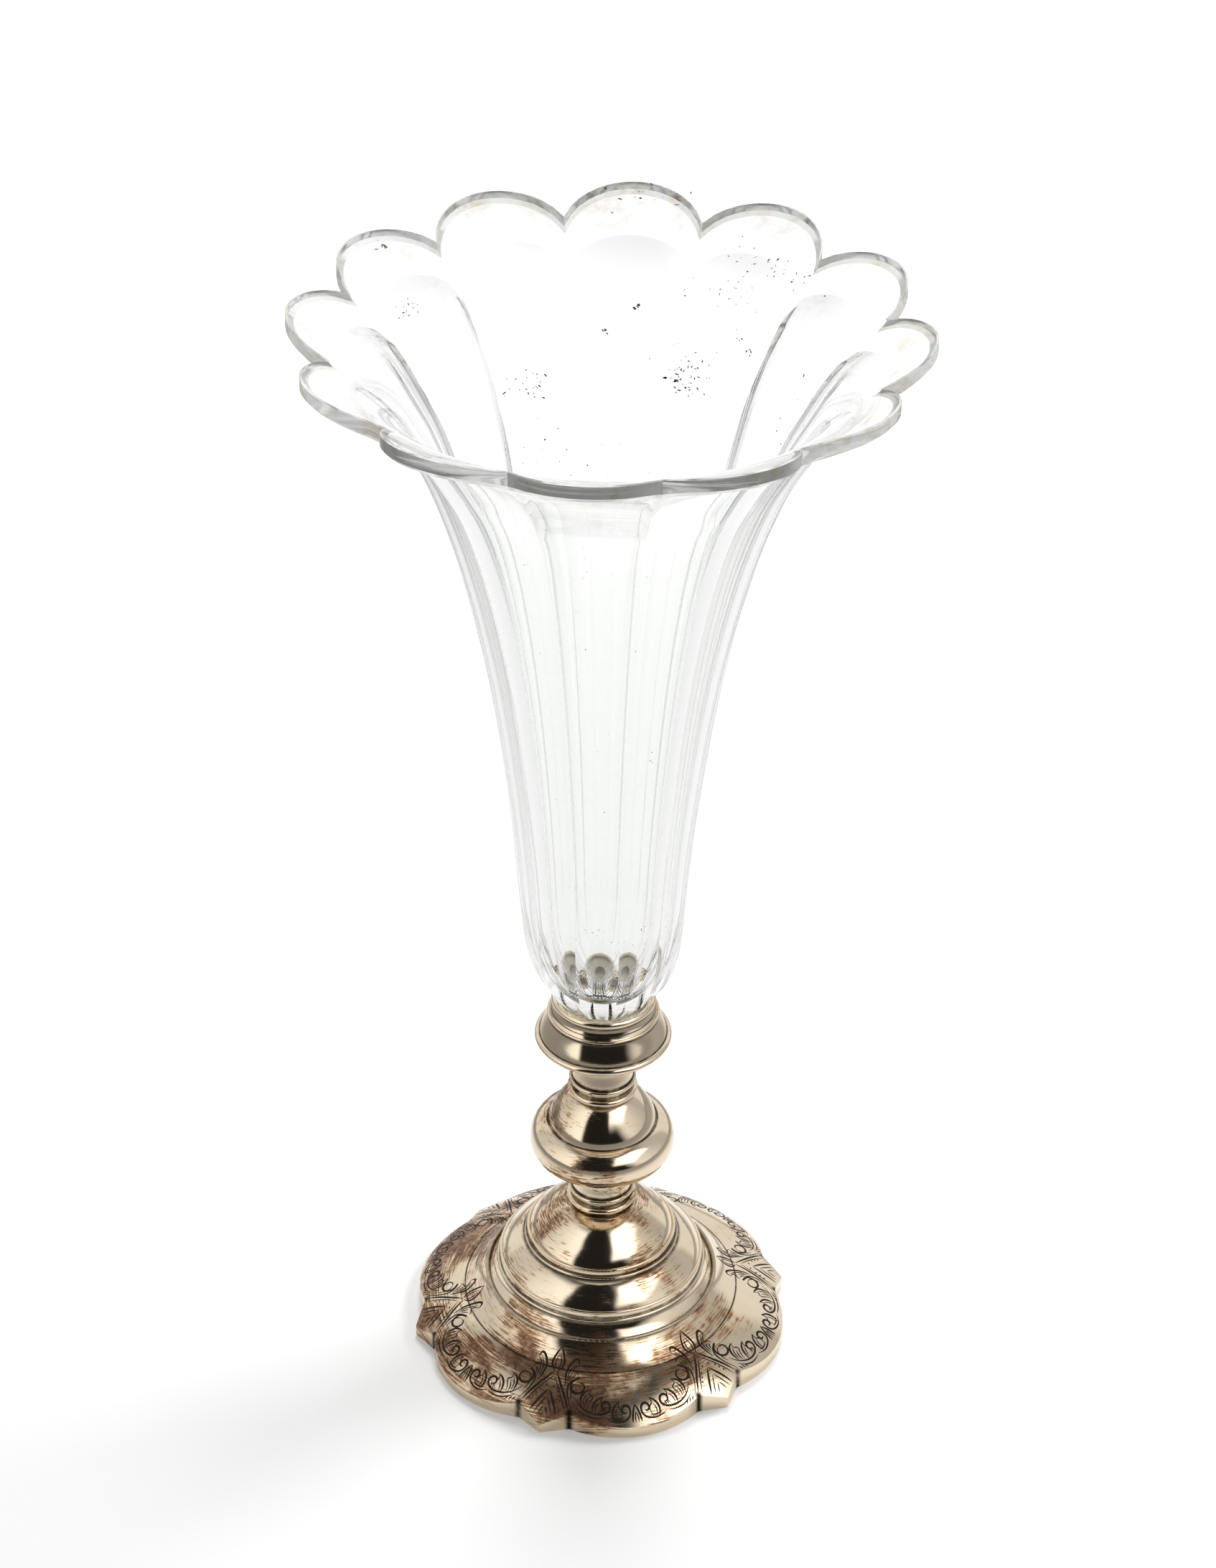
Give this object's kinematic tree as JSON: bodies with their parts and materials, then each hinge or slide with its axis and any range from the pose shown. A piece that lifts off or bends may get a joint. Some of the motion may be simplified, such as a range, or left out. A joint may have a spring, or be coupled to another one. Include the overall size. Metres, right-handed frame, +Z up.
{
  "type": "trumpet vase",
  "caption": "Tall cut-glass trumpet vase with a scalloped flaring rim and hollow flutes, set in a turned silver stem on a broad lobed foot with an engraved border.",
  "frame": {"origin": "on the table, under the middle of the foot", "axes": "+Z up along the stem; +X through the point of one cartouche of the foot border"},
  "size_m": [0.21, 0.21, 0.4274],
  "materials": {
    "cut_glass": "polished",
    "silver": "polished, tarnished in the hollows",
    "plaster": "matt",
    "steel": "plain",
    "filling": "matt",
    "cover": "matt",
    "baize": "felted"
  },
  "bodies": {
    "root": {"glass_trumpet": "cut_glass", "plaster_bed": "plaster", "collar_mouth_wire": "silver", "collar_bead_wire": "silver", "collar_shell": "silver", "collar_lip_wire": "silver", "collar_underplate": "silver", "upper_neck": "silver", "upper_neck_small_ring": "silver", "upper_neck_large_ring": "silver", "knop_upper_shell": "silver", "knop_lower_shell": "silver", "lower_neck": "silver", "lower_neck_small_ring": "silver", "lower_neck_large_ring": "silver", "foot_bell": "silver", "foot_upper_reed": "silver", "foot_lower_reed": "silver", "foot_dome": "silver", "foot_dome_upper_bead": "silver", "foot_dome_lower_bead": "silver", "foot_step_wire": "silver", "foot_apron": "silver", "foot_edge_band": "silver", "tie_rod": "steel", "rod_top_nut": "steel", "rod_top_washer": "steel", "rod_bottom_nut": "steel", "rod_bottom_washer": "steel", "foot_filling": "filling", "base_cover": "cover", "base_pad": "baize"}
  },
  "joints": []
}
